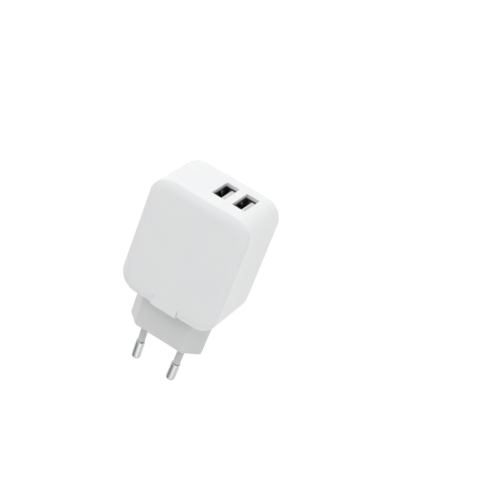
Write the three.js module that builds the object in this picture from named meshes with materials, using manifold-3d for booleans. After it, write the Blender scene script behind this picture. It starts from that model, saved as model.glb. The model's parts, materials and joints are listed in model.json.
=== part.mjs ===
// A two-port USB wall charger with a flat two-pin mains plug.
// Millimetres. The origin is midway between the pins on the face that meets the wall socket.
// +Y points along the pins, +Z points out of the large front face, and X runs across the width.

import * as THREE from "three";
import { mergeVertices } from "three/addons/utils/BufferGeometryUtils.js";
import Module from "manifold-3d";

const wasm = await Module();
wasm.setup();

// ---- driving dimensions ----

// housing
const BODY_WIDTH = 45.5;
const BODY_LENGTH = 53.5;
const FRONT_Z = 13.7;
const REAR_Z = -15.7;
const CORNER_RADIUS = 8.5;
const CROWN_WIDTH = 4.4;
const CROWN_DROP = 1.4;
const FRONT_EDGE_RADIUS = 0.5;
const REAR_EDGE_RADIUS = 2.6;
const WALL = 2;
const SEAM_Z = -9.2;
const SEAM_GAP = 0.15;
const LIP_HEIGHT = 1.6;
const LIP_THICKNESS = 0.75;
const TAB_WIDTH = 12;
const TAB_LENGTH = 6;
const TAB_DEPTH = 3;
const FRONT_INNER_BEVEL = { width: 1.6, depth: 1.2 };
const REAR_INNER_BEVEL = 1.8;
const RIB = { ys: [-31, -52], reach: 1.2, root: 0.4, thickness: 1.5 };

// mains plug
const PLUG_HEIGHT = 18.2;
// The width is across the rounded tips and the thickness across the flats, half-way along the plug.
const PLUG_WIDTH = 35.3;
const PLUG_THICKNESS = 13.7;
const PLUG_SLOPE = Math.PI / 4;
const PLUG_TIP_RADIUS = 2;
const PLUG_SIDE_RADIUS = 3.2;
const PLUG_DRAFT = 0.17;
const PLUG_FACE_RADIUS = 1.2;
const PLUG_WALL = 1.8;
const PLUG_FACE_THICKNESS = 3.5;
const FLANGE = { thickness: 1.5, halfWidth: 12.5, halfHeight: 8.4 };
const PIN_BOSS_RADIUS = 3.6;
const PIN_BOSS_DEPTH = 9;
const PIN_LENGTH = 19;
const PIN_RADIUS = 2;
const PIN_SPACING_AT_FACE = 18.6;
const PIN_SPACING_AT_TIP = 17.5;
const PIN_CORE_RADIUS = 1.15;
const PIN_TAIL_RADIUS = 1.65;
const PIN_TAIL_LENGTH = 12;
const PIN_DOME_LENGTH = 1.8;
const SLEEVE_LENGTH = 9.8;
const SLEEVE_RADIUS = 1.55;
const SLEEVE_FOOT_RADIUS = 1.95;
const SLEEVE_ROOT_DEPTH = 3;
const SLEEVE_FOOT = { straight: 1.2, end: 5 };
const PIN_EDGE = 0.3;
const PIN_CONTACT = { strip: 0.5, width: 3.6, halfHeight: 2.4, run: 13.5 };

// USB ports, both on the end opposite the pins, standing on edge
const PORT_X = [-1.6, -10.95];
const PORT_Z = -1.75;
const PORT_OPENING = { width: 5.8, height: 13.1 };
const PORT_SHELL = { width: 5.72, height: 13.1, depth: 12.6, sheet: 0.3 };
const PORT_LIP_DEPTH = 1.4;
const PORT_SEAT_GAP = 0.12;
const TONGUE = { thickness: 1.84, height: 11.1, recess: 1.7, offset: -0.4, slopeWidth: 0.4, slopeDepth: 0.6 };
const CONTACT = { width: 1, thickness: 0.25, leg: 0.8 };
const CONTACT_Z = [-3.5, -1, 1, 3.5];
const CONTACT_LEG_PITCH = 1.3;
const SHELL_TAB = { setback: 4, width: 2 };
const INSULATOR_BLOCK_DEPTH = 2.4;

// circuit board
const BOARD_TOP = -8.6;
const BOARD_THICKNESS = 1.6;
const LEG_REACH = 1;
const WIRE_RADIUS = 0.35;
const CHIP_LEAD = { halfWidth: 0.2, root: 0.2, reach: 0.9, thickness: 0.3 };
const POST_RADIUS = 2;
const BOARD_POSTS = [[-17, -28], [17, -28], [-17, -64], [17, -64]];
const GAP = 0.3;
const FINE_GAP = 0.1;

// derived places
const BODY_TOP_Y = -PLUG_HEIGHT;
const BODY_END_Y = BODY_TOP_Y - BODY_LENGTH;
const BODY_MIDDLE_Y = (BODY_TOP_Y + BODY_END_Y) / 2;
const BOARD_BOTTOM = BOARD_TOP - BOARD_THICKNESS;
const COVER_FLOOR = REAR_Z + WALL;
const PIN_LEAN = Math.atan((PIN_SPACING_AT_FACE - PIN_SPACING_AT_TIP) / 2 / PIN_LENGTH);

// ---- materials ----

function plastic(color, roughness) {
  return new THREE.MeshStandardMaterial({ color, roughness, metalness: 0 });
}

function metal(color, roughness) {
  return new THREE.MeshStandardMaterial({ color, roughness, metalness: 1 });
}

const housingWhite = plastic(0xf2f2f3, 0.45);
const plugWhite = plastic(0xe4e4e6, 0.45);
const sleeveGrey = plastic(0xb9bbbe, 0.5);
const tongueGrey = plastic(0xd2d2d3, 0.5);
const bobbinBlack = plastic(0x1c1c1e, 0.6);
const tapeYellow = plastic(0xe0b62c, 0.5);
const capacitorSleeve = plastic(0x23304a, 0.4);
const discBlue = plastic(0x2e6fb0, 0.5);
const chipBlack = plastic(0x202022, 0.7);
const boardGreen = plastic(0x2f6b3a, 0.5);
const sheetClear = plastic(0xd9d9d2, 0.35);
const ferrite = plastic(0x3a3a3d, 0.65);
const nickel = metal(0xc9ccd1, 0.25);
const brass = metal(0xc9a252, 0.3);
const tinSteel = metal(0xbfc2c6, 0.35);
const goldPlate = metal(0xd8b45a, 0.25);

// ---- solid helpers ----

// A closed three.js geometry as a solid that can be joined and cut.
function solid(geometry) {
  const bare = geometry.clone();
  bare.deleteAttribute("normal");
  bare.deleteAttribute("uv");
  const merged = mergeVertices(bare, 1e-4);
  const vertProperties = new Float32Array(merged.attributes.position.array);
  const triVerts = new Uint32Array(merged.index.array);
  return new wasm.Manifold(new wasm.Mesh({ numProp: 3, vertProperties, triVerts }));
}

function join(pieces) {
  return pieces.reduce((all, one) => all.add(one));
}

function cut(from, tools) {
  return tools.reduce((left, tool) => left.subtract(tool), from);
}

// A named mesh of a finished solid.
function piece(name, shape, material) {
  const raw = shape.getMesh();
  const geometry = new THREE.BufferGeometry();
  geometry.setAttribute("position", new THREE.BufferAttribute(new Float32Array(raw.vertProperties), 3));
  geometry.setIndex(new THREE.BufferAttribute(new Uint32Array(raw.triVerts), 1));
  geometry.computeVertexNormals();
  const mesh = new THREE.Mesh(geometry, material);
  mesh.name = name;
  return mesh;
}

// A block between two corners.
function block(low, high) {
  const size = high.map((top, axis) => top - low[axis]);
  const geometry = new THREE.BoxGeometry(...size);
  geometry.translate(...size.map((length, axis) => low[axis] + length / 2));
  return solid(geometry);
}

// An upright cylinder that stands on z = bottom.
function post(x, y, bottom, top, radius, sides = 16) {
  const geometry = new THREE.CylinderGeometry(radius, radius, top - bottom, sides);
  geometry.rotateX(Math.PI / 2);
  geometry.translate(x, y, (top + bottom) / 2);
  return solid(geometry);
}

// A turned solid from [radius, height] points that run up from the axis and back to it.
function turned(profile, sides = 20) {
  const points = profile.map(([radius, height]) => new THREE.Vector2(radius, height));
  return new THREE.LatheGeometry(points, sides);
}

// A closed surface through equal rings of [x, y, z] points, anticlockwise seen from the last ring.
function loft(rings) {
  const count = rings[0].length;
  const last = (rings.length - 1) * count;
  const faces = [];
  for (let ring = 0; ring < rings.length - 1; ring++) {
    for (let at = 0; at < count; at++) {
      const low = ring * count + at;
      const lowNext = ring * count + ((at + 1) % count);
      faces.push(low, lowNext, lowNext + count, low, lowNext + count, low + count);
    }
  }
  for (let at = 1; at < count - 1; at++) {
    faces.push(last, last + at, last + at + 1);
    faces.push(0, at + 1, at);
  }
  const geometry = new THREE.BufferGeometry();
  geometry.setAttribute("position", new THREE.Float32BufferAttribute(rings.flat(2), 3));
  geometry.setIndex(faces);
  return geometry;
}

// The housing's outline at a height, drawn in by an inset: a rectangle with round corners.
function housingRing(inset, z, segments = 7) {
  const radius = Math.max(CORNER_RADIUS - inset, 0.5);
  const halfWidth = BODY_WIDTH / 2 - inset - radius;
  const halfLength = BODY_LENGTH / 2 - inset - radius;
  const ring = [];
  const signs = [[1, 1], [-1, 1], [-1, -1], [1, -1]];
  signs.forEach(([signX, signY], corner) => {
    for (let step = 0; step <= segments; step++) {
      const angle = ((corner + step / segments) * Math.PI) / 2;
      const x = signX * halfWidth + radius * Math.cos(angle);
      const y = BODY_MIDDLE_Y + signY * halfLength + radius * Math.sin(angle);
      ring.push([x, y, z]);
    }
  });
  return ring;
}

// A straight-sided block of the housing's outline.
function housingSlab(inset, bottom, top) {
  return solid(loft([housingRing(inset, bottom), housingRing(inset, top)]));
}

// ---- housing ----

// The front face is flat in the middle and rolls off over a shallow arc to a crisp edge.
function crownRings() {
  const arcRadius = (CROWN_WIDTH ** 2 + CROWN_DROP ** 2) / (2 * CROWN_DROP);
  const edgeInset = FRONT_EDGE_RADIUS * 0.6;
  const edgeSlope = Math.asin((CROWN_WIDTH - edgeInset) / arcRadius);
  const rings = [];
  rings.push(housingRing(0, FRONT_Z - CROWN_DROP - FRONT_EDGE_RADIUS));
  rings.push(housingRing(0.06, FRONT_Z - CROWN_DROP - FRONT_EDGE_RADIUS / 3));
  const steps = 5;
  for (let step = 0; step <= steps; step++) {
    const slope = edgeSlope * (1 - step / steps);
    const inset = CROWN_WIDTH - arcRadius * Math.sin(slope);
    const drop = arcRadius * (1 - Math.cos(slope));
    rings.push(housingRing(inset, FRONT_Z - drop));
  }
  return rings;
}

// The level tab in the middle of the plug-end edge, where the front face runs straight to the end.
function frontTab() {
  const half = TAB_WIDTH / 2;
  const low = [-half, BODY_TOP_Y - TAB_LENGTH, FRONT_Z - TAB_DEPTH];
  return block(low, [half, BODY_TOP_Y, FRONT_Z]);
}

// A port's mouth through the end wall, with a seat behind its lip that the shield fits into.
function portOpening(x) {
  const across = (halfWidth, halfHeight, from, to) => {
    return block([x - halfWidth, from, PORT_Z - halfHeight], [x + halfWidth, to, PORT_Z + halfHeight]);
  };
  const lipEnd = BODY_END_Y + PORT_LIP_DEPTH;
  const mouth = across(PORT_OPENING.width / 2, PORT_OPENING.height / 2, BODY_END_Y - 1, BODY_END_Y + WALL);
  const seatHalfWidth = PORT_SHELL.width / 2 + PORT_SEAT_GAP;
  const seatHalfHeight = PORT_SHELL.height / 2 + PORT_SEAT_GAP;
  return join([mouth, across(seatHalfWidth, seatHalfHeight, lipEnd, BODY_END_Y + WALL + 1)]);
}

// Ribs on the side walls that hold the circuit board down.
function boardRibs() {
  const ribs = [];
  const innerHalf = BODY_WIDTH / 2 - WALL;
  for (const side of [-1, 1]) {
    for (const y of RIB.ys) {
      const xs = [side * (innerHalf - RIB.reach), side * (innerHalf + RIB.root)].sort((a, b) => a - b);
      const half = RIB.thickness / 2;
      ribs.push(block([xs[0], y - half, BOARD_TOP + GAP], [xs[1], y + half, FRONT_Z - WALL]));
    }
  }
  return ribs;
}

function frontShell() {
  const outer = solid(loft([housingRing(0, SEAM_Z), ...crownRings()]));
  const ceiling = FRONT_Z - WALL;
  const cavity = solid(loft([
    housingRing(WALL, SEAM_Z - 1),
    housingRing(WALL, ceiling - FRONT_INNER_BEVEL.depth),
    housingRing(WALL + FRONT_INNER_BEVEL.width, ceiling),
  ]));
  const rebate = housingSlab(WALL - LIP_THICKNESS - SEAM_GAP, SEAM_Z - 1, SEAM_Z + LIP_HEIGHT + SEAM_GAP);
  const hollow = cut(join([outer, frontTab()]), [cavity]);
  const plugHole = plugBlock(-WALL * 3 - PLUG_HEIGHT, 5, FINE_GAP);
  return cut(join([hollow, ...boardRibs()]), [rebate, plugHole, ...PORT_X.map(portOpening)]);
}

// Posts in the rear cover that carry the circuit board.
function boardPosts() {
  return BOARD_POSTS.map(([x, y]) => post(x, y, COVER_FLOOR - 0.5, BOARD_BOTTOM - GAP, POST_RADIUS, 12));
}

function rearCover() {
  const rings = [];
  const steps = 4;
  for (let step = 0; step <= steps; step++) {
    const angle = ((1 - step / steps) * Math.PI) / 2;
    const inset = REAR_EDGE_RADIUS * (1 - Math.cos(angle));
    rings.push(housingRing(inset, REAR_Z + REAR_EDGE_RADIUS * (1 - Math.sin(angle))));
  }
  const outer = solid(loft([...rings, housingRing(0, SEAM_Z - SEAM_GAP)]));
  const lip = housingSlab(WALL - LIP_THICKNESS, SEAM_Z - 1, SEAM_Z + LIP_HEIGHT);
  const cavity = solid(loft([
    housingRing(WALL + REAR_INNER_BEVEL, COVER_FLOOR),
    housingRing(WALL, COVER_FLOOR + REAR_INNER_BEVEL),
    housingRing(WALL, SEAM_Z + LIP_HEIGHT + 1),
  ]));
  const portEdge = PORT_OPENING.width / 2 + 1;
  const lipBreak = block(
    [Math.min(...PORT_X) - portEdge, BODY_END_Y - 1, SEAM_Z - SEAM_GAP],
    [Math.max(...PORT_X) + portEdge, BODY_END_Y + WALL + 1, SEAM_Z + LIP_HEIGHT + 1],
  );
  return join([cut(join([outer, lip]), [cavity, lipBreak]), ...boardPosts()]);
}

// ---- mains plug ----

// The points of an arc of a radius that rounds the corner between two neighbours.
function roundedCorner(corner, before, after, radius, steps) {
  const back = before.clone().sub(corner).normalize();
  const ahead = after.clone().sub(corner).normalize();
  const halfAngle = Math.acos(back.dot(ahead)) / 2;
  const inwards = back.clone().add(ahead).normalize();
  const centre = corner.clone().addScaledVector(inwards, radius / Math.sin(halfAngle));
  const middle = Math.atan2(-inwards.y, -inwards.x);
  const reach = Math.PI / 2 - halfAngle;
  const points = [];
  for (let step = 0; step <= steps; step++) {
    const angle = middle + reach * ((2 * step) / steps - 1);
    points.push(new THREE.Vector2(radius, 0).rotateAround(new THREE.Vector2(), angle).add(centre));
  }
  return points;
}

// The plug's long hexagon with its corners rounded, grown outwards by an offset.
function plugOutline(grow) {
  const half = PLUG_THICKNESS / 2 + grow;
  const tipRadius = PLUG_TIP_RADIUS + grow;
  const tip = PLUG_WIDTH / 2 + grow + tipRadius * (1 / Math.cos(PLUG_SLOPE) - 1);
  const flat = tip - half / Math.tan(PLUG_SLOPE);
  const sideRadius = PLUG_SIDE_RADIUS + grow;
  const corners = [
    [tip, 0, tipRadius],
    [flat, half, sideRadius],
    [-flat, half, sideRadius],
    [-tip, 0, tipRadius],
    [-flat, -half, sideRadius],
    [flat, -half, sideRadius],
  ];
  const spots = corners.map(([x, y]) => new THREE.Vector2(x, y));
  return corners.flatMap(([, , radius], at) => {
    return roundedCorner(spots[at], spots.at(at - 1), spots[(at + 1) % spots.length], radius, 4);
  });
}

// The plug's prism from one distance along Y to another, tapering towards the pins' end, where its
// edge can be rounded over.
function plugBlock(from, to, grow, edgeRadius = 0) {
  const levels = [[from, 0]];
  const steps = edgeRadius ? 4 : 0;
  for (let step = 0; step <= steps; step++) {
    const angle = steps ? (step / steps) * (Math.PI / 2) : 0;
    levels.push([to - edgeRadius * (1 - Math.sin(angle)), edgeRadius * (1 - Math.cos(angle))]);
  }
  const rings = levels.map(([y, trim]) => {
    const draft = (-PLUG_DRAFT * (y + PLUG_HEIGHT / 2)) / (PLUG_HEIGHT / 2);
    return plugOutline(grow + draft - trim).map((point) => [point.x, point.y, y]);
  });
  const geometry = loft(rings);
  geometry.rotateX(-Math.PI / 2);
  return solid(geometry);
}

// Puts a solid that was made along Y, at x = 0, on a pin's own line. Side is -1 or 1.
function onPinLine(geometry, side) {
  geometry.rotateZ(side * PIN_LEAN);
  geometry.translate((side * PIN_SPACING_AT_FACE) / 2, 0, 0);
  return solid(geometry);
}

function rodAlongPin(radius, from, to, side, sides = 20) {
  const geometry = new THREE.CylinderGeometry(radius, radius, to - from, sides);
  geometry.translate(0, (from + to) / 2, 0);
  return onPinLine(geometry, side);
}

function plugBody() {
  const rear = BODY_TOP_Y - WALL - GAP - FLANGE.thickness;
  const prism = plugBlock(rear, 0, 0, PLUG_FACE_RADIUS);
  const flange = block(
    [-FLANGE.halfWidth, rear, -FLANGE.halfHeight],
    [FLANGE.halfWidth, rear + FLANGE.thickness, FLANGE.halfHeight],
  );
  const pocket = plugBlock(rear - 1, -PLUG_FACE_THICKNESS, -PLUG_WALL);
  const bosses = [-1, 1].map((side) => {
    return rodAlongPin(PIN_BOSS_RADIUS, -PIN_BOSS_DEPTH, -PLUG_FACE_THICKNESS + 0.5, side);
  });
  const bores = [-1, 1].flatMap((side) => [
    rodAlongPin(SLEEVE_FOOT_RADIUS + FINE_GAP, -SLEEVE_ROOT_DEPTH - FINE_GAP, 2, side),
    rodAlongPin(PIN_TAIL_RADIUS + FINE_GAP, -PIN_TAIL_LENGTH, 1, side),
  ]);
  return cut(join([cut(join([prism, flange]), [pocket]), ...bosses]), bores);
}

// A solid metal pin: a full-size contact end, a thin core under the sleeve and a tail inside.
function pin(side) {
  const shoulder = -SLEEVE_ROOT_DEPTH - FINE_GAP * 2;
  const profile = [
    [0, -PIN_TAIL_LENGTH],
    [PIN_TAIL_RADIUS - PIN_EDGE, -PIN_TAIL_LENGTH],
    [PIN_TAIL_RADIUS, -PIN_TAIL_LENGTH + PIN_EDGE],
    [PIN_TAIL_RADIUS, shoulder],
    [PIN_CORE_RADIUS, shoulder],
    [PIN_CORE_RADIUS, SLEEVE_LENGTH + FINE_GAP],
    [PIN_RADIUS - FINE_GAP * 2, SLEEVE_LENGTH + FINE_GAP],
    [PIN_RADIUS, SLEEVE_LENGTH + FINE_GAP + PIN_EDGE],
  ];
  const domeStart = PIN_LENGTH - PIN_DOME_LENGTH;
  const steps = 4;
  for (let step = 0; step <= steps; step++) {
    const angle = (step / steps) * (Math.PI / 2);
    const radius = step === steps ? 0 : PIN_RADIUS * Math.cos(angle);
    profile.push([radius, domeStart + PIN_DOME_LENGTH * Math.sin(angle)]);
  }
  return onPinLine(turned(profile), side);
}

// The insulating sleeve, slimmer than the contact end, with a flared foot in the plug's face.
function pinSleeve(side) {
  const bore = PIN_CORE_RADIUS + FINE_GAP;
  const profile = [
    [bore, -SLEEVE_ROOT_DEPTH],
    [SLEEVE_FOOT_RADIUS, -SLEEVE_ROOT_DEPTH],
    [SLEEVE_FOOT_RADIUS, SLEEVE_FOOT.straight],
    [SLEEVE_RADIUS, SLEEVE_FOOT.end],
    [SLEEVE_RADIUS, SLEEVE_LENGTH],
    [bore, SLEEVE_LENGTH],
    [bore, -SLEEVE_ROOT_DEPTH],
  ];
  return onPinLine(turned(profile), side);
}

// A bent brass strip that presses on the pin's tail and stands on the board.
function pinContact(side) {
  const { strip, width, halfHeight, run } = PIN_CONTACT;
  const back = -PIN_TAIL_LENGTH - 0.2;
  const foot = BOARD_TOP + 0.2;
  const shape = new THREE.Shape();
  shape.moveTo(back, halfHeight);
  shape.lineTo(back, -halfHeight);
  shape.lineTo(back - run, -halfHeight);
  shape.lineTo(back - run, foot);
  shape.lineTo(back - run - strip, foot);
  shape.lineTo(back - run - strip, -halfHeight + strip);
  shape.lineTo(back - strip, -halfHeight + strip);
  shape.lineTo(back - strip, halfHeight);
  shape.closePath();
  const geometry = new THREE.ExtrudeGeometry(shape, { depth: width, bevelEnabled: false });
  geometry.rotateZ(Math.PI / 2);
  geometry.rotateY(Math.PI / 2);
  const tailX = (side * PIN_SPACING_AT_FACE) / 2 + side * Math.tan(PIN_LEAN) * PIN_TAIL_LENGTH;
  geometry.translate(tailX - width / 2, 0, 0);
  return solid(geometry);
}

// ---- circuit board ----

const SHELL_FRONT = BODY_END_Y + PORT_LIP_DEPTH + FINE_GAP;
const SHELL_BACK = SHELL_FRONT + PORT_SHELL.depth;
const SHELL_BOTTOM = PORT_Z - PORT_SHELL.height / 2;

function contactLegY(order) {
  return SHELL_BACK + 1.2 + order * CONTACT_LEG_PITCH;
}

function contactX(portX) {
  return portX + TONGUE.offset + FINE_GAP / 2;
}

function mainBoard() {
  const width = BODY_WIDTH / 2 - WALL - 0.5;
  const inset = BODY_WIDTH / 2 - width;
  const plate = housingSlab(inset, BOARD_BOTTOM, BOARD_TOP);
  const plugSide = block([-30, -24, BOARD_BOTTOM - 1], [30, 0, BOARD_TOP + 1]);
  const holes = [];
  for (const portX of PORT_X) {
    CONTACT_Z.forEach((_, order) => {
      const x = contactX(portX) + CONTACT.thickness / 2;
      const y = contactLegY(order);
      const end = y + CONTACT.leg + 0.2;
      holes.push(block([x - 0.4, y - 0.2, BOARD_BOTTOM - 1], [x + 0.4, end, BOARD_TOP + 1]));
    });
    for (const side of [-1, 1]) {
      const x = portX + side * (PORT_SHELL.width / 2 - PORT_SHELL.sheet / 2);
      const y = SHELL_FRONT + SHELL_TAB.setback;
      const end = y + SHELL_TAB.width + 0.25;
      holes.push(block([x - 0.4, y - 0.25, BOARD_BOTTOM - 1], [x + 0.4, end, BOARD_TOP + 1]));
    }
  }
  return cut(plate, [plugSide, ...holes]);
}

// A thin clear sheet between the board's solder side and the rear cover, cut round the posts.
function insulationSheet() {
  const sheet = housingSlab(WALL + 2.4, COVER_FLOOR + GAP, COVER_FLOOR + GAP + 0.25);
  const clearances = BOARD_POSTS.map(([x, y]) => {
    return post(x, y, COVER_FLOOR - 1, COVER_FLOOR + 2, POST_RADIUS + 0.4, 12);
  });
  return cut(sheet, clearances);
}

// ---- USB receptacles ----

function portShell(x) {
  const halfWidth = PORT_SHELL.width / 2;
  const halfHeight = PORT_SHELL.height / 2;
  const sheet = PORT_SHELL.sheet;
  const outer = block(
    [x - halfWidth, SHELL_FRONT, PORT_Z - halfHeight],
    [x + halfWidth, SHELL_BACK, PORT_Z + halfHeight],
  );
  const inner = block(
    [x - halfWidth + sheet, SHELL_FRONT - 1, PORT_Z - halfHeight + sheet],
    [x + halfWidth - sheet, SHELL_BACK + 1, PORT_Z + halfHeight - sheet],
  );
  const tabs = [-1, 1].map((side) => {
    const edge = x + side * halfWidth;
    const xs = [edge, edge - side * sheet].sort((a, b) => a - b);
    const y = SHELL_FRONT + SHELL_TAB.setback;
    return block([xs[0], y, BOARD_BOTTOM - LEG_REACH], [xs[1], y + SHELL_TAB.width, SHELL_BOTTOM + 1]);
  });
  return join([cut(outer, [inner]), ...tabs]);
}

// The pale insulator: a tongue that carries the contacts, on a block that fills the shell's back. The
// tongue's bare side slopes away at the front.
function portInsulator(x) {
  const face = x + TONGUE.offset;
  const blockFront = SHELL_BACK - INSULATOR_BLOCK_DEPTH;
  const sheet = PORT_SHELL.sheet + FINE_GAP;
  const front = BODY_END_Y + TONGUE.recess;
  const bare = face - TONGUE.thickness;
  const bottom = PORT_Z - TONGUE.height / 2;
  const top = PORT_Z + TONGUE.height / 2;
  const across = (y, low) => [[low, y, bottom], [low, y, top], [face, y, top], [face, y, bottom]];
  const tongue = solid(loft([
    across(front, bare + TONGUE.slopeWidth),
    across(front + TONGUE.slopeDepth, bare),
    across(blockFront + 1, bare),
  ]));
  const back = block(
    [x - PORT_SHELL.width / 2 + sheet, blockFront, PORT_Z - PORT_SHELL.height / 2 + sheet],
    [x + PORT_SHELL.width / 2 - sheet, SHELL_BACK, PORT_Z + PORT_SHELL.height / 2 - sheet],
  );
  const slots = CONTACT_Z.map((z) => {
    const middle = PORT_Z + z;
    return block(
      [face, blockFront - 1, middle - CONTACT.width / 2 - 0.15],
      [face + CONTACT.thickness + 0.2, SHELL_BACK + 1, middle + CONTACT.width / 2 + 0.15],
    );
  });
  return cut(join([tongue, back]), slots);
}

// A flat stamped contact: an arm along the tongue, and a leg behind the shell down to the board.
function portContact(x, order) {
  const left = contactX(x);
  const right = left + CONTACT.thickness;
  const middle = PORT_Z + CONTACT_Z[order];
  const legY = contactLegY(order);
  const arm = block(
    [left, BODY_END_Y + TONGUE.recess + 0.7, middle - CONTACT.width / 2],
    [right, legY + CONTACT.leg, middle + CONTACT.width / 2],
  );
  const leg = block([left, legY, BOARD_BOTTOM - LEG_REACH], [right, legY + CONTACT.leg, middle]);
  return join([arm, leg]);
}

// ---- parts on the board ----

const SEAT = BOARD_TOP + 0.15;

// An aluminium can in a plastic sleeve, with a rolled groove near its foot.
function electrolytic(x, y, radius, height) {
  const profile = [
    [0, 0],
    [radius - 0.3, 0],
    [radius, 0.4],
    [radius, 1.4],
    [radius - 0.45, 1.8],
    [radius, 2.2],
    [radius, height - 0.5],
    [radius - 0.5, height],
    [0, height],
  ];
  const geometry = turned(profile, 18);
  geometry.rotateX(Math.PI / 2);
  geometry.translate(x, y, SEAT);
  return solid(geometry);
}

// A moulded chip with a row of bent leads on two sides.
function chip(x, y, size, leadsPerSide) {
  const [width, length, height] = size;
  const body = block(
    [x - width / 2, y - length / 2, SEAT + 0.1],
    [x + width / 2, y + length / 2, SEAT + height],
  );
  const leads = [];
  const pitch = width / leadsPerSide;
  for (let at = 0; at < leadsPerSide; at++) {
    const middle = x - width / 2 + pitch * (at + 0.5);
    for (const side of [-1, 1]) {
      const near = y + side * (length / 2 - CHIP_LEAD.root);
      const far = y + side * (length / 2 + CHIP_LEAD.reach);
      const ys = [near, far].sort((a, b) => a - b);
      const low = [middle - CHIP_LEAD.halfWidth, ys[0], SEAT];
      leads.push(block(low, [middle + CHIP_LEAD.halfWidth, ys[1], SEAT + CHIP_LEAD.thickness]));
    }
  }
  return join([body, ...leads]);
}

// transformer: an E-E ferrite core round a bobbin, lying along Y
const CORE = { x: 5, y: -41, width: 16.5, depth: 6.4, half: 7.2, leg: 3.2, back: 3 };
const BOBBIN = { clearance: 0.25, wall: 0.7, flangeHalfWidth: 4.8, footHalfWidth: 8 };
const BOBBIN_BORE_HALF = CORE.leg * 0.75 + BOBBIN.clearance;
const BOBBIN_TUBE_HALF = BOBBIN_BORE_HALF + BOBBIN.wall;
const TUBE_RISE = BOBBIN.clearance + BOBBIN.wall;
const CORE_BOTTOM = BOARD_TOP + 3.4;
const CORE_MIDDLE = CORE_BOTTOM + CORE.depth / 2;

function coreHalf(side) {
  const near = CORE.y + side * 0.1;
  const far = CORE.y + side * CORE.half;
  const ys = [near, far].sort((a, b) => a - b);
  const outer = block(
    [CORE.x - CORE.width / 2, ys[0], CORE_BOTTOM],
    [CORE.x + CORE.width / 2, ys[1], CORE_BOTTOM + CORE.depth],
  );
  const innerYs = [near - side, far - side * CORE.back].sort((a, b) => a - b);
  const windows = [-1, 1].map((hand) => {
    const xs = [hand * CORE.leg * 0.75, hand * (CORE.width / 2 - CORE.leg)].sort((a, b) => a - b);
    return block(
      [CORE.x + xs[0], innerYs[0], CORE_BOTTOM - 1],
      [CORE.x + xs[1], innerYs[1], CORE_BOTTOM + CORE.depth + 1],
    );
  });
  return cut(outer, windows);
}

function bobbin() {
  const windowHalf = CORE.half - CORE.back - GAP;
  const tube = block(
    [CORE.x - BOBBIN_TUBE_HALF, CORE.y - windowHalf, CORE_BOTTOM - TUBE_RISE],
    [CORE.x + BOBBIN_TUBE_HALF, CORE.y + windowHalf, CORE_BOTTOM + CORE.depth + TUBE_RISE],
  );
  const inside = windowHalf - BOBBIN.wall;
  const flanges = [-1, 1].map((side) => {
    const ys = [CORE.y + side * windowHalf, CORE.y + side * inside].sort((a, b) => a - b);
    const low = [CORE.x - BOBBIN.flangeHalfWidth, ys[0], CORE_BOTTOM - 2.2];
    return block(low, [CORE.x + BOBBIN.flangeHalfWidth, ys[1], CORE_BOTTOM + CORE.depth + 2.4]);
  });
  const feet = [-1, 1].map((side) => {
    const ys = [CORE.y + side * inside, CORE.y + side * (CORE.half + 1.4)].sort((a, b) => a - b);
    const low = [CORE.x - BOBBIN.footHalfWidth, ys[0], SEAT];
    return block(low, [CORE.x + BOBBIN.footHalfWidth, ys[1], CORE_BOTTOM - GAP]);
  });
  const bore = block(
    [CORE.x - BOBBIN_BORE_HALF, CORE.y - 20, CORE_BOTTOM - BOBBIN.clearance],
    [CORE.x + BOBBIN_BORE_HALF, CORE.y + 20, CORE_BOTTOM + CORE.depth + BOBBIN.clearance],
  );
  return cut(join([tube, ...flanges, ...feet]), [bore]);
}

function winding() {
  const windowHalf = CORE.half - CORE.back - GAP - BOBBIN.wall - 0.2;
  const outer = block(
    [CORE.x - BOBBIN.flangeHalfWidth + 0.1, CORE.y - windowHalf, CORE_BOTTOM - 2.1],
    [CORE.x + BOBBIN.flangeHalfWidth - 0.1, CORE.y + windowHalf, CORE_BOTTOM + CORE.depth + 2.3],
  );
  const inner = block(
    [CORE.x - BOBBIN_TUBE_HALF - FINE_GAP, CORE.y - 20, CORE_BOTTOM - TUBE_RISE - FINE_GAP],
    [CORE.x + BOBBIN_TUBE_HALF + FINE_GAP, CORE.y + 20, CORE_BOTTOM + CORE.depth + TUBE_RISE + FINE_GAP],
  );
  return cut(outer, [inner]);
}

// One turn of tape that holds the two core halves together.
function coreTape() {
  const reach = 0.15;
  const outside = reach + 0.25;
  const halfHeight = 2;
  const outer = block(
    [CORE.x - CORE.width / 2 - outside, CORE.y - CORE.half - outside, CORE_MIDDLE - halfHeight],
    [CORE.x + CORE.width / 2 + outside, CORE.y + CORE.half + outside, CORE_MIDDLE + halfHeight],
  );
  const inner = block(
    [CORE.x - CORE.width / 2 - reach, CORE.y - CORE.half - reach, CORE_MIDDLE - 3],
    [CORE.x + CORE.width / 2 + reach, CORE.y + CORE.half + reach, CORE_MIDDLE + 3],
  );
  return cut(outer, [inner]);
}

// A drum choke: a waisted ferrite spool.
function inputChoke(x, y) {
  const profile = [[0, 0], [3, 0], [3, 1.2], [2.5, 1.4], [2.5, 6.6], [3, 6.8], [3, 8], [0, 8]];
  const geometry = turned(profile, 16);
  geometry.rotateX(Math.PI / 2);
  geometry.translate(x, y, SEAT);
  return solid(geometry);
}

const RESISTOR = { radius: 1.6, bottom: 0.8, top: 8.8, loopTop: 10, loopReach: 3, wire: 0.6 };

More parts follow.
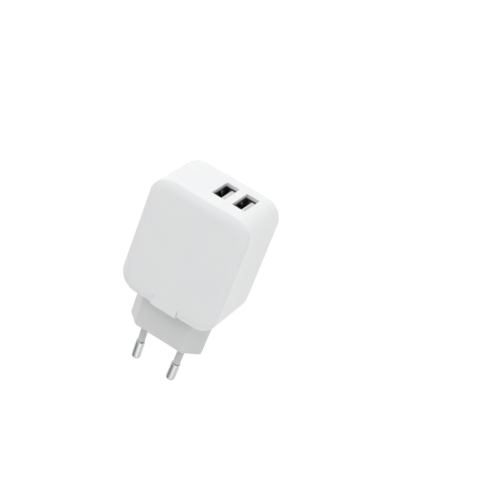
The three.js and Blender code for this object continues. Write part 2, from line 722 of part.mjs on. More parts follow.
// A fusible resistor standing on end, with one lead bent over its top and down beside it.
function fuseResistor(x, y) {
  const { radius, bottom, top, loopTop, loopReach, wire } = RESISTOR;
  const body = post(x, y, SEAT + bottom, SEAT + top, radius, 14);
  const stub = post(x, y, SEAT - 0.05, SEAT + loopTop, WIRE_RADIUS, 8);
  const far = [x + loopReach, y + wire / 2, SEAT + loopTop];
  const bridge = block([x - WIRE_RADIUS, y - wire / 2, SEAT + loopTop - wire], far);
  const drop = block([x + loopReach - wire, y - wire / 2, SEAT], far);
  return join([body, stub, bridge, drop]);
}

const DISC = { radius: 4, thickness: 3.4, lift: 1.4, leadSpacing: 5 };

// A ceramic disc on two leads that bridges the mains side and the low-voltage side.
function safetyCapacitor(x, y) {
  const { radius, thickness, lift, leadSpacing } = DISC;
  const disc = new THREE.CylinderGeometry(radius, radius, thickness, 18);
  disc.rotateZ(Math.PI / 2);
  disc.translate(x, y, SEAT + radius + lift);
  const leads = [-0.5, 0.5].map((part) => {
    return post(x, y + part * leadSpacing, SEAT, SEAT + radius, WIRE_RADIUS, 8);
  });
  return join([solid(disc), ...leads]);
}

// ---- the charger ----

const charger = new THREE.Group();
const add = (name, shape, material) => charger.add(piece(name, shape, material));

add("front_shell", frontShell(), housingWhite);
add("rear_cover", rearCover(), housingWhite);
add("plug_body", plugBody(), plugWhite);
for (const [side, hand] of [[-1, "left"], [1, "right"]]) {
  add(`pin_${hand}`, pin(side), nickel);
  add(`pin_sleeve_${hand}`, pinSleeve(side), sleeveGrey);
  add(`pin_contact_${hand}`, pinContact(side), brass);
}
add("main_board", mainBoard(), boardGreen);
add("insulation_sheet", insulationSheet(), sheetClear);
PORT_X.forEach((x, at) => {
  const port = at + 1;
  add(`usb_shell_${port}`, portShell(x), tinSteel);
  add(`usb_insulator_${port}`, portInsulator(x), tongueGrey);
  CONTACT_Z.forEach((_, order) => {
    add(`usb_contact_${port}_${order + 1}`, portContact(x, order), goldPlate);
  });
});
add("transformer_core_1", coreHalf(1), ferrite);
add("transformer_core_2", coreHalf(-1), ferrite);
add("transformer_bobbin", bobbin(), bobbinBlack);
add("transformer_winding", winding(), tapeYellow);
add("transformer_tape", coreTape(), tapeYellow);
add("input_capacitor_1", electrolytic(-14, -44.5, 5, 16), capacitorSleeve);
add("input_capacitor_2", electrolytic(-14, -33.5, 5, 16), capacitorSleeve);
add("output_capacitor_1", electrolytic(7.5, -61.5, 4, 14), capacitorSleeve);
add("output_capacitor_2", electrolytic(16, -61, 4, 14), capacitorSleeve);
add("input_choke", inputChoke(-2.5, -28.2), ferrite);
add("fuse_resistor", fuseResistor(3, -28.2), discBlue);
add("bridge_rectifier", chip(16.8, -31, [4.8, 3.8, 2.5], 2), chipBlack);
add("safety_capacitor", safetyCapacitor(17.6, -41), discBlue);
add("primary_controller", chip(16.6, -50.6, [5, 3.8, 1.6], 4), chipBlack);
add("output_rectifier", chip(8.5, -53.5, [5.2, 4.2, 1.6], 1), chipBlack);
add("port_controller", chip(-17, -62, [3, 1.6, 1.2], 3), chipBlack);

export default charger;
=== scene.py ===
# A white USB wall charger that lies on a pale floor.
# Everything here is in metres in the CAD frame, and the shapes are drawn in millimetres through MM.
# The origin is midway between the pins on the plug face. +Y runs along the pins and +Z out of the front.

import json
import math
import bmesh
import bpy
from mathutils import Matrix, Vector

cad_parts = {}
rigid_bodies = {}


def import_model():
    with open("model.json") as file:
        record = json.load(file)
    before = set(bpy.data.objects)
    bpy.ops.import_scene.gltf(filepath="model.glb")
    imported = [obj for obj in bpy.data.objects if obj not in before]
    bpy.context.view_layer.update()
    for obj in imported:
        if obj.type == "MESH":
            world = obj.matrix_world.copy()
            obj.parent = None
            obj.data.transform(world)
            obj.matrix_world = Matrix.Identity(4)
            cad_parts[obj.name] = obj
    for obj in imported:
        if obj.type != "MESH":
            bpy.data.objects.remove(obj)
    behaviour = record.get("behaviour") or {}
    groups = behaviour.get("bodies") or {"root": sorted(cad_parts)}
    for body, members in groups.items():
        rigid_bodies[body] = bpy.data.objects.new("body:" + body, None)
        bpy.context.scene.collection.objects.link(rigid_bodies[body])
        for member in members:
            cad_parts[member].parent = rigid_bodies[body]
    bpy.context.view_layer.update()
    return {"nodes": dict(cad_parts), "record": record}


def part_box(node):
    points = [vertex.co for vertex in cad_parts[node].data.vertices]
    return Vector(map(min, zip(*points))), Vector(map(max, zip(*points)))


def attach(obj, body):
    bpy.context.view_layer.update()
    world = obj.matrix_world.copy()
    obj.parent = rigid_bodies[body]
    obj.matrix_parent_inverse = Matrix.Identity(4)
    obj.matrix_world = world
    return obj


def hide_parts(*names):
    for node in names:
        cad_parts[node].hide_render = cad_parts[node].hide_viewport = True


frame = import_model()
MM = 0.001


def cad(node):
    """A CAD node's lowest and highest corners, in millimetres."""
    low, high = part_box(node)
    return [v / MM for v in low], [v / MM for v in high]


# ---- dimensions in millimetres ----

front_low, front_high = cad("front_shell")
HALF_X = front_high[0]
TOP_Y = front_high[1]
END_Y = front_low[1]
MID_Y = (TOP_Y + END_Y) / 2
HALF_Y = (TOP_Y - END_Y) / 2
FRONT_Z = front_high[2]
REAR_Z = cad("rear_cover")[0][2]
CORNER = 8.5
CROWN_WIDTH = 4.4
CROWN_DROP = 1.4
FRONT_EDGE = 0.5
FRONT_EDGE_LEAN = 0.36
ROLL_START = 0.3
REAR_EDGE = 2.6
WALL = 2.0
FRONT_INNER_SLOPE = 1.6
FRONT_INNER_DROP = 1.2
REAR_INNER_EDGE = 1.8
SEAM_Z = -9.2
SEAM_GROOVE = 0.03
SEAM_CLEARANCE = 0.01

# The tab in the plug-end edge, and the gaps beside it.
TAB_HALF = 6.0
TAB_EDGE = 0.35
TAB_SIDE_EDGE = 0.15
TAB_GAP = 0.13
TAB_GAP_DEPTH = 2.4
TAB_GAP_END = 0.03
TAB_DEPTH = 3

# The plug block is a hexagon with round corners, which narrows a little towards its face at y = 0.
PLUG_HALF_WIDTH = 17.65
PLUG_HALF_THICKNESS = 6.85
PLUG_SLOPE = math.pi / 4
PLUG_TIP_RADIUS = 2.0
PLUG_SIDE_RADIUS = 3.2
PLUG_FACE_RADIUS = 1.2
PLUG_MIDDLE_Y = TOP_Y / 2
PLUG_DRAFT = 0.17
PLUG_HOLE_GAP = 0.06
PLUG_ROOT = 2.8
PIN_HOLE_RADIUS = 2.02
PIN_HOLE_BEVEL = 0.14

# The pins lean together. Places along a pin are measured from the plug's face.
PIN_SPACING = 18.6
PIN_TIP_SPACING = 17.5
PIN_LENGTH = 19.0
PIN_TIP = PIN_LENGTH - 0.002
PIN_RADIUS = 2.0
PIN_DOME = 1.8
PIN_SHOULDER = 0.22
PIN_CORE = 1.15
PIN_ROOT = -3.3
PIN_END = -11.9
PIN_END_RADIUS = 1.65
ON_AXIS = 0.02
SLEEVE_LENGTH = 9.8
SLEEVE_ROOT = -2.95
SLEEVE_RADIUS = 1.55
FOOT_RADIUS = 1.93
FOOT_END = 1.0
FOOT_TAPER = 4.2
PIN_LEAN = math.atan((PIN_SPACING - PIN_TIP_SPACING) / 2 / PIN_LENGTH)

# The middles of the two USB openings, and the opening's size.
PORTS = []
for number in (1, 2):
    low, high = cad(f"usb_shell_{number}")
    PORTS.append((low[0] + high[0]) / 2)
PORT_Z = -1.75
OPENING_X = 5.8
OPENING_Z = 13.1
LIP_DEPTH = 1.4
SEAT_GAP = 0.12
SHELL_Y = cad("usb_shell_1")[0][1]
SHELL_BACK = cad("usb_shell_1")[1][1]


# ---- mesh helpers ----

def ease(part):
    """Goes smoothly from 0 to 1 as part does, level at both ends and beyond them."""
    part = min(max(part, 0), 1)
    return part * part * (3 - 2 * part)


def mesh_object(name, points, faces, slot, body="root", replaces=(), smooth=True):
    """A new piece from points in millimetres, riding on a body."""
    mesh = bpy.data.meshes.new(name)
    mesh.from_pydata([Vector(p) * MM for p in points], [], faces)
    mesh.validate()
    mesh.update()
    obj = bpy.data.objects.new(name, mesh)
    bpy.context.scene.collection.objects.link(obj)
    bm = bmesh.new()
    bm.from_mesh(mesh)
    bmesh.ops.remove_doubles(bm, verts=bm.verts, dist=1e-7)
    bmesh.ops.recalc_face_normals(bm, faces=bm.faces)
    bm.to_mesh(mesh)
    bm.free()
    for face in mesh.polygons:
        face.use_smooth = smooth
    if slot:
        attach(obj, body)
    if replaces:
        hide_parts(*replaces)
    return obj


def loft(rings, close=False):
    """Points and faces of a skin through equal rings. It is capped, or with close it joins up with itself."""
    count = len(rings[0])
    points = [p for ring in rings for p in ring]
    faces = []
    spans = len(rings) if close else len(rings) - 1
    for span in range(spans):
        here = span * count
        there = ((span + 1) % len(rings)) * count
        for at in range(count):
            beside = (at + 1) % count
            faces.append((here + at, here + beside, there + beside, there + at))
    if not close:
        last = (len(rings) - 1) * count
        faces.append(tuple(reversed(range(count))))
        faces.append(tuple(range(last, last + count)))
    return points, faces


def cutter(points, faces):
    """A shape that is only there to cut another, and is removed once it has."""
    return mesh_object("cutter", points, faces, None, smooth=False)


def boolean(obj, tool, operation):
    """obj joined with or cut by tool, kept as its own mesh."""
    modifier = obj.modifiers.new("cut", "BOOLEAN")
    modifier.operation = operation
    modifier.solver = "EXACT"
    modifier.object = tool
    graph = bpy.context.evaluated_depsgraph_get()
    made = bpy.data.meshes.new_from_object(obj.evaluated_get(graph), depsgraph=graph)
    obj.modifiers.remove(modifier)
    old = obj.data
    obj.data = made
    bpy.data.meshes.remove(old)
    bpy.data.objects.remove(tool)


def finish_shading(obj, degrees=32.0):
    """Sharp edges where the faces turn quickly, and smooth shading weighted by face size elsewhere."""
    mesh = obj.data
    bm = bmesh.new()
    bm.from_mesh(mesh)
    bmesh.ops.remove_doubles(bm, verts=bm.verts, dist=2e-7)
    bmesh.ops.dissolve_degenerate(bm, edges=bm.edges, dist=1e-7)
    for edge in bm.edges:
        edge.smooth = not (len(edge.link_faces) == 2 and edge.calc_face_angle() > math.radians(degrees))
    for face in bm.faces:
        face.smooth = True
    bm.to_mesh(mesh)
    bm.free()
    weighted = obj.modifiers.new("weighted", "WEIGHTED_NORMAL")
    weighted.mode = "FACE_AREA"
    weighted.keep_sharp = True


def rounded_bar(low, high, radius, steps=4):
    """A block between two corners whose four edges along Y are round."""
    outline = []
    for corner, (sz, sx) in enumerate(((1, 1), (-1, 1), (-1, -1), (1, -1))):
        centre_z = high[2] - radius if sz > 0 else low[2] + radius
        centre_x = high[0] - radius if sx > 0 else low[0] + radius
        for step in range(steps + 1):
            angle = (corner + step / steps) * math.pi / 2
            outline.append((centre_x + radius * math.sin(angle), centre_z + radius * math.cos(angle)))
    return loft([[(x, y, z) for x, z in outline] for y in (low[1], high[1])])


# ---- housing ----

def housing_ring(inset, z, corner_steps=28, side_steps=10):
    """The housing's outline at a height, drawn in by an inset: a rectangle with round corners."""
    radius = CORNER - inset
    signs = ((1, 1), (-1, 1), (-1, -1), (1, -1))

    def on_corner(corner, quarter):
        """A point on one of the round corners, some quarters of a turn on from +X."""
        sx, sy = signs[corner]
        x = sx * (HALF_X - CORNER) + radius * math.cos(quarter * math.pi / 2)
        return x, MID_Y + sy * (HALF_Y - CORNER) + radius * math.sin(quarter * math.pi / 2), z

    ring = []
    for corner in range(4):
        for step in range(corner_steps + 1):
            ring.append(on_corner(corner, corner + step / corner_steps))
        start = Vector(ring[-1])
        end = Vector(on_corner((corner + 1) % 4, corner + 1))
        for step in range(1, side_steps):
            ring.append(tuple(start.lerp(end, step / side_steps)))
    return ring


def crown_profile():
    """(inset, height) pairs up the crown's edge: a small round, then the long roll to the flat face."""
    radius = (CROWN_WIDTH ** 2 + CROWN_DROP ** 2) / (2 * CROWN_DROP)
    base = FRONT_Z - CROWN_DROP
    edge_slope = math.asin((CROWN_WIDTH - ROLL_START) / radius)
    profile = [(0.0, base - FRONT_EDGE)]
    for step in range(1, 5):
        angle = step / 4 * (math.pi / 2 - edge_slope)
        inset = FRONT_EDGE_LEAN * (1 - math.cos(angle))
        profile.append((inset, base - FRONT_EDGE * (1 - math.sin(angle))))
    steps = 16
    for step in range(steps + 1):
        slope = edge_slope * (1 - step / steps)
        profile.append((CROWN_WIDTH - radius * math.sin(slope), FRONT_Z - radius * (1 - math.cos(slope))))
    return profile


def tab_block():
    """The level tab in the middle of the plug-end edge, with small rounds along its end and its sides."""
    root_y = TOP_Y - CROWN_WIDTH - 1.0
    bottom = FRONT_Z - TAB_DEPTH
    side_steps, end_steps = 5, 6
    sections = []
    for step in range(side_steps + 1):
        angle = step / side_steps * math.pi / 2
        half = TAB_HALF - TAB_SIDE_EDGE * (1 - math.sin(angle))
        sections.append((half, TAB_SIDE_EDGE * (1 - math.cos(angle))))
    rings = []
    for half, drop in sections[::-1] + [(-half, drop) for half, drop in sections]:
        ring = [(half, root_y, bottom), (half, TOP_Y - drop, bottom)]
        for step in range(end_steps + 1):
            angle = step / end_steps * math.pi / 2
            y = TOP_Y - drop - TAB_EDGE * (1 - math.cos(angle))
            ring.append((half, y, FRONT_Z - drop - TAB_EDGE * (1 - math.sin(angle))))
        ring.append((half, root_y, FRONT_Z - drop))
        rings.append(ring)
    return loft(rings)


def tab_gap(side):
    """A hairline gap beside the tab, deepest at the housing's end and gone where the roll meets the flat."""
    root_y = TOP_Y - CROWN_WIDTH
    clear_y, clear_z = TOP_Y + 1, FRONT_Z + 1
    rings = []
    for x in (side * TAB_HALF, side * (TAB_HALF + TAB_GAP)):
        rings.append([
            (x, clear_y, FRONT_Z - TAB_GAP_DEPTH), (x, clear_y, clear_z),
            (x, root_y, clear_z), (x, root_y, FRONT_Z - TAB_GAP_END),
        ])
    return loft(rings)


def rounded_frame(x, half_x, half_z, radius, y, steps=5):
    """One round-cornered rectangle across a port, at a depth."""
    ring = []
    for corner, (sz, sx) in enumerate(((1, 1), (-1, 1), (-1, -1), (1, -1))):
        for step in range(steps + 1):
            part = step / steps if corner % 2 == 0 else 1 - step / steps
            angle = part * math.pi / 2
            ring.append((
                x + sx * (half_x - radius) + sx * radius * math.sin(angle),
                y,
                PORT_Z + sz * (half_z - radius) + sz * radius * math.cos(angle),
            ))
    return ring


def opening_cutter(x):
    """A port's opening with a small round at its mouth, and the shield's wider seat behind the lip."""
    mouth_round = 0.18
    corner = 0.4
    spots = [(END_Y - 0.5, mouth_round)]
    for step in range(6):
        angle = step / 5 * math.pi / 2
        y = END_Y + mouth_round * (1 - math.cos(angle))
        spots.append((y, mouth_round * (1 - math.sin(angle))))
    spots.append((END_Y + LIP_DEPTH, 0.0))
    spots.append((END_Y + LIP_DEPTH + 0.01, SEAT_GAP))
    spots.append((END_Y + WALL + 1.5, SEAT_GAP))
    rings = []
    for y, grow in spots:
        half_x, half_z = OPENING_X / 2 + grow, OPENING_Z / 2 + grow
        rings.append(rounded_frame(x, half_x, half_z, corner + grow, y))
    return cutter(*loft(rings))


def plug_outline(grow, steps=8):
    """The plug's rounded hexagon, grown outwards, as (x, z) points."""
    half = PLUG_HALF_THICKNESS + grow
    tip_radius = PLUG_TIP_RADIUS + grow
    side_radius = PLUG_SIDE_RADIUS + grow
    tip = PLUG_HALF_WIDTH + grow + tip_radius * (1 / math.cos(PLUG_SLOPE) - 1)
    flat = tip - half / math.tan(PLUG_SLOPE)
    corners = []
    for side in (1, -1):
        corners += [(side * tip, 0, tip_radius), (side * flat, side * half, side_radius)]
        corners += [(-side * flat, side * half, side_radius)]
    points = []
    for at, (x, z, radius) in enumerate(corners):
        here = Vector((x, z))
        before = (Vector(corners[at - 1][:2]) - here).normalized()
        after = (Vector(corners[(at + 1) % 6][:2]) - here).normalized()
        half_angle = before.angle(after) / 2
        inwards = (before + after).normalized()
        centre = here + inwards * (radius / math.sin(half_angle))
        middle = math.atan2(-inwards.y, -inwards.x)
        reach = math.pi / 2 - half_angle
        for step in range(steps + 1):
            angle = middle + reach * (2 * step / steps - 1)
            points.append((centre.x + radius * math.cos(angle), centre.y + radius * math.sin(angle)))
    return points


def plug_ring(y, grow):
    """The plug's outline at a distance along Y, narrower towards the face and wider towards the body."""
    draft = PLUG_DRAFT * (y - PLUG_MIDDLE_Y) / PLUG_MIDDLE_Y
    return [(x, y, z) for x, z in plug_outline(grow + draft)]


def make_front_shell():
    """The front and the walls, hollowed out, with the tab, both port openings and the plug's hole."""
    rings = [housing_ring(SEAM_GROOVE, SEAM_Z), housing_ring(0, SEAM_Z + SEAM_GROOVE)]
    wall_top = FRONT_Z - CROWN_DROP - FRONT_EDGE
    for part in (0.35, 0.7):
        rings.append(housing_ring(0, SEAM_Z + (wall_top - SEAM_Z) * part))
    rings += [housing_ring(inset, z) for inset, z in crown_profile()]
    shell = mesh_object("charger_front", *loft(rings), "housing", replaces=["front_shell"])
    for side in (-1, 1):
        boolean(shell, cutter(*tab_gap(side)), "DIFFERENCE")
    boolean(shell, cutter(*tab_block()), "UNION")
    inner = [
        housing_ring(WALL, SEAM_Z - 1),
        housing_ring(WALL, FRONT_Z - WALL - FRONT_INNER_DROP),
        housing_ring(WALL + FRONT_INNER_SLOPE, FRONT_Z - WALL),
    ]
    boolean(shell, cutter(*loft(inner)), "DIFFERENCE")
    for x in PORTS:
        boolean(shell, opening_cutter(x), "DIFFERENCE")
    hole = [plug_ring(TOP_Y - 6, PLUG_HOLE_GAP), plug_ring(TOP_Y + 3, PLUG_HOLE_GAP)]
    boolean(shell, cutter(*loft(hole)), "DIFFERENCE")
    finish_shading(shell)


def make_rear_cover():
    """The shallow cover behind the seam, which is round along its rear edge."""
    rings = []
    for step in range(11):
        angle = (1 - step / 10) * math.pi / 2
        inset = REAR_EDGE * (1 - math.cos(angle))
        rings.append(housing_ring(inset, REAR_Z + REAR_EDGE * (1 - math.sin(angle))))
    rings.append(housing_ring(0, SEAM_Z - SEAM_CLEARANCE - SEAM_GROOVE))
    rings.append(housing_ring(SEAM_GROOVE, SEAM_Z - SEAM_CLEARANCE))
    cover = mesh_object("charger_back", *loft(rings), "housing", replaces=["rear_cover"])
    inner = [
        housing_ring(WALL + REAR_INNER_EDGE, REAR_Z + WALL),
        housing_ring(WALL, REAR_Z + WALL + REAR_INNER_EDGE),
        housing_ring(WALL, SEAM_Z + 1),
    ]
    boolean(cover, cutter(*loft(inner)), "DIFFERENCE")
    finish_shading(cover)


# ---- mains plug ----

def along_pin(points, side):
    """Puts points that were made along Y at x = 0 on a pin's own line."""
    turn = Matrix.Rotation(side * PIN_LEAN, 3, "Z")
    shift = Vector((side * PIN_SPACING / 2, 0, 0))
    return [tuple(turn @ Vector(p) + shift) for p in points]


def turned(profile, sides=72, close=False):
    """A shape turned about Y from (radius, y) pairs, capped at both ends or, with close, a closed ring."""
    rings = []
    for radius, y in profile:
        ring = []
        for at in range(sides):
            angle = at / sides * 2 * math.pi
            ring.append((radius * math.sin(angle), y, radius * math.cos(angle)))
        rings.append(ring)
    return loft(rings, close=close)


def make_plug():
    """The plug block, with a bevelled hole for each pin."""
    rings = [plug_ring(TOP_Y - PLUG_ROOT, 0)]
    for y in (TOP_Y, -14, -9.5, -5, -1.5):
        rings.append(plug_ring(y, 0))
    edge = PLUG_FACE_RADIUS
    for step in range(9):
        angle = step / 8 * math.pi / 2
        rings.append(plug_ring(-edge * (1 - math.sin(angle)), -edge * (1 - math.cos(angle))))
    plug = mesh_object("plug_block", *loft(rings), "plug_plastic", replaces=["plug_body"])
    mouth, clear = PIN_HOLE_RADIUS + PIN_HOLE_BEVEL, 0.02
    bore = [(PIN_HOLE_RADIUS, PIN_ROOT), (PIN_HOLE_RADIUS, clear - PIN_HOLE_BEVEL)]
    bore += [(mouth, clear), (mouth, 1.0)]
    for side in (-1, 1):
        points, faces = turned(bore, sides=64)
        boolean(plug, cutter(along_pin(points, side), faces), "DIFFERENCE")
    finish_shading(plug)


def pin_profile():
    """A pin's metal: its end inside the plug, the thin core in the sleeve, and the bare end with its dome."""
    profile = [(ON_AXIS, PIN_END), (PIN_END_RADIUS - 0.15, PIN_END), (PIN_END_RADIUS, PIN_END + 0.2)]
    profile += [(PIN_END_RADIUS, PIN_ROOT), (PIN_CORE, PIN_ROOT + 0.1), (PIN_CORE, SLEEVE_LENGTH + 0.1)]
    shoulder = SLEEVE_LENGTH + 0.12
    for step in range(5):
        angle = step / 4 * math.pi / 2
        radius = PIN_RADIUS - PIN_SHOULDER * (1 - math.sin(angle))
        profile.append((radius, shoulder + PIN_SHOULDER * (1 - math.cos(angle))))
    steps = 14
    for step in range(steps):
        angle = step / steps * math.pi / 2
        profile.append((PIN_RADIUS * math.cos(angle), PIN_TIP - PIN_DOME * (1 - math.sin(angle))))
    profile.append((ON_AXIS, PIN_TIP))
    return profile


def sleeve_profile():
    """The sleeve around the core: a straight foot in the plug, then a smooth taper to the thin length."""
    bore = PIN_CORE + 0.05
    profile = [(bore, SLEEVE_ROOT), (FOOT_RADIUS, SLEEVE_ROOT), (FOOT_RADIUS, FOOT_END)]
    for step in range(1, 9):
        part = step / 8
        radius = FOOT_RADIUS - (FOOT_RADIUS - SLEEVE_RADIUS) * ease(part)
        profile.append((radius, FOOT_END + FOOT_TAPER * part))
    profile += [(SLEEVE_RADIUS, SLEEVE_LENGTH - 0.15), (SLEEVE_RADIUS - 0.05, SLEEVE_LENGTH - 0.02)]
    profile += [(SLEEVE_RADIUS - 0.15, SLEEVE_LENGTH), (bore, SLEEVE_LENGTH)]
    return profile


def make_pins():
    for side, hand in ((-1, "left"), (1, "right")):
        points, faces = turned(pin_profile())
        pin = mesh_object(f"pin_metal_{hand}", along_pin(points, side), faces, "pin_metal",
                          replaces=[f"pin_{hand}"])
        finish_shading(pin, 40)
        points, faces = turned(sleeve_profile(), close=True)
        ring = mesh_object(f"pin_cover_{hand}", along_pin(points, side), faces, "pin_sleeve",
                           replaces=[f"pin_sleeve_{hand}"])
        finish_shading(ring, 40)


make_front_shell()
make_rear_cover()
make_plug()
make_pins()


# ---- USB sockets ----

SHEET = 0.3
SHELL_CLEARANCE = 0.04
SHELL_CORNER = 0.62
SHELL_INNER_CORNER = 0.35
SHELL_LIP = 0.06
SHELL_LIP_ROUND = 0.05
SPRING_Z = 2.5
SIDE_SPRING_BOW = 0.8
END_SPRING_BOW = 0.35
SPRING_LENGTH = 5.6
SPRING_SETBACK = 0.15
SPRING_HALF = 0.85
TONGUE_FRONT = cad("usb_insulator_1")[0][1]
TONGUE_FACE = -0.4
TONGUE_THICKNESS = 1.84
TONGUE_HALF_HEIGHT = 5.55
TONGUE_CORNER = 0.25
TONGUE_SLOPE = 0.4
TONGUE_SLOPE_DEPTH = 0.6
BACK_DEPTH = 2.4
GROOVE_DEPTH = 0.22
GROOVE_HALF = 0.62
GROOVE_SETBACK = 0.6
CONTACT_Z = (-3.5, -1, 1, 3.5)
CONTACT_THICKNESS = 0.2
CONTACT_HALF = 0.5
CONTACT_SINK = 0.12
CONTACT_CREST = 0.42
CREST_SETBACK = 2.4
CREST_LENGTH = 1.1


def add_spring(shell, bow_in, place):
    """A sprung finger in a window of its own: it leaves the sheet, bows in to a crest and ends free.

    place turns a depth below the sheet's outer face, a distance behind its front edge and a distance
    along the finger's wall into a point."""
    window = []
    for depth in (0.35, 6.3):
        corners = ((-1, -1), (SHEET + 1, -1), (SHEET + 1, 1), (-1, 1))
        window.append([place(out, depth, along) for out, along in corners])
    boolean(shell, cutter(*loft(window)), "DIFFERENCE")
    steps = 22
    rings = []
    for step in range(steps + 1):
        depth = SPRING_SETBACK + SPRING_LENGTH * step / steps
        rise = ease((depth - 0.4) / 1.5)
        fall = (depth - 2.3) / 3.2
        bow = bow_in * (rise - 0.85 * ease(fall))
        half = SPRING_HALF - 0.25 * min(max(fall, 0), 1)
        near, far = bow + 0.02, bow + SHEET - 0.02
        corners = ((near, -half), (far, -half), (far, half), (near, half))
        rings.append([place(out, depth, along) for out, along in corners])
    boolean(shell, cutter(*loft(rings)), "UNION")


def make_shield(number, x):
    """The bent sheet around a socket, with two fingers in one long wall and one in each short wall."""
    half_x = OPENING_X / 2 - SHELL_CLEARANCE
    half_z = OPENING_Z / 2
    in_x, in_z = half_x - SHEET, half_z - SHEET
    lip_y = SHELL_Y + SHELL_LIP
    edge = SHELL_LIP_ROUND
    rings = [
        rounded_frame(x, half_x - edge, half_z - edge, SHELL_CORNER - 0.02, SHELL_Y),
        rounded_frame(x, half_x, half_z, SHELL_CORNER, lip_y),
        rounded_frame(x, half_x, half_z, SHELL_CORNER, SHELL_BACK),
        rounded_frame(x, in_x, in_z, SHELL_INNER_CORNER, SHELL_BACK),
        rounded_frame(x, in_x, in_z, SHELL_INNER_CORNER, lip_y),
        rounded_frame(x, in_x + edge, in_z + edge, SHELL_INNER_CORNER + edge, SHELL_Y),
    ]
    shell = mesh_object(f"socket_shell_{number}", *loft(rings, close=True), "port_steel",
                        replaces=[f"usb_shell_{number}"])
    for side in (-1, 1):
        middle = PORT_Z + side * SPRING_Z
        add_spring(shell, SIDE_SPRING_BOW, lambda out, depth, along, middle=middle: (
            x + half_x - out, SHELL_Y + depth, middle + along))
    for side in (-1, 1):
        add_spring(shell, END_SPRING_BOW, lambda out, depth, along, side=side: (
            x + along, SHELL_Y + depth, PORT_Z + side * (half_z - out)))
    finish_shading(shell, 35)


def make_insulator(number, x):
    """The tongue, whose bare side slopes away at the front, and its block at the back."""
    low, high = cad(f"usb_insulator_{number}")
    face = x + TONGUE_FACE
    centre = face - TONGUE_THICKNESS / 2
    # Each level's depth behind the front, how far its edges are rounded off, and its share of the slope.
    levels = ((0.0, 0.22, TONGUE_SLOPE), (0.07, 0.1, 0.37), (0.22, 0.0, 0.28), (TONGUE_SLOPE_DEPTH, 0.0, 0.0))
    rings = []
    for depth, trim, slope in levels:
        half_x = (TONGUE_THICKNESS - slope) / 2 - trim
        half_z = TONGUE_HALF_HEIGHT - trim
        rings.append(rounded_frame(centre + slope / 2, half_x, half_z, TONGUE_CORNER, TONGUE_FRONT + depth))
    rings.append([(px, high[1] - 1.0, pz) for px, _, pz in rings[-1]])
    tongue = mesh_object(f"socket_tongue_{number}", *loft(rings), "port_plastic",
                         replaces=[f"usb_insulator_{number}"])
    back = rounded_bar((low[0], high[1] - BACK_DEPTH, low[2]), high, 0.3)
    boolean(tongue, cutter(*back), "UNION")
    for z in CONTACT_Z:
        middle = PORT_Z + z
        near = (face - GROOVE_DEPTH, TONGUE_FRONT + GROOVE_SETBACK, middle - GROOVE_HALF)
        far = (face + 0.45, high[1] + 1, middle + GROOVE_HALF)
        slot = rounded_bar(near, far, 0.05)
        boolean(tongue, cutter(*slot), "DIFFERENCE")
    finish_shading(tongue, 35)


def make_contact(number, order):
    """A sprung contact: flat along the tongue, with a raised crest near its front."""
    node = f"usb_contact_{number}_{order}"
    low, high = cad(node)
    front, back = low[1], high[1]
    base = low[0] - CONTACT_SINK
    middle = PORT_Z + CONTACT_Z[order - 1]
    bottom, top = middle - CONTACT_HALF, middle + CONTACT_HALF
    steps = 40
    rings = []
    for step in range(steps + 1):
        y = front + (back - front) * step / steps
        inner = base + CONTACT_CREST * math.exp(-((y - front - CREST_SETBACK) / CREST_LENGTH) ** 2)
        outer = inner + CONTACT_THICKNESS
        rings.append([(inner, y, bottom), (outer, y, bottom), (outer, y, top), (inner, y, top)])
    contact = mesh_object(f"socket_contact_{number}_{order}", *loft(rings), "gold_contact", replaces=[node])
    leg = rounded_bar((base, back - 0.8, low[2]), (base + CONTACT_THICKNESS, back, middle), 0.04)
    boolean(contact, cutter(*leg), "UNION")
    finish_shading(contact, 35)


for number, x in enumerate(PORTS, 1):
    make_shield(number, x)
    make_insulator(number, x)
    for order in range(1, 5):
        make_contact(number, order)


# ---- materials ----

# Noise is read between these two levels, which it stays within almost everywhere.
RAMP_START = 0.3
RAMP_END = 0.7
BUMP_STRENGTH = 0.4
FINE_GRAIN = 0.000004
METAL = 1.0


def socket_value(shader, name, value):
    """Sets one of a shader's own values."""
    if name in shader.inputs:
        shader.inputs[name].default_value = value


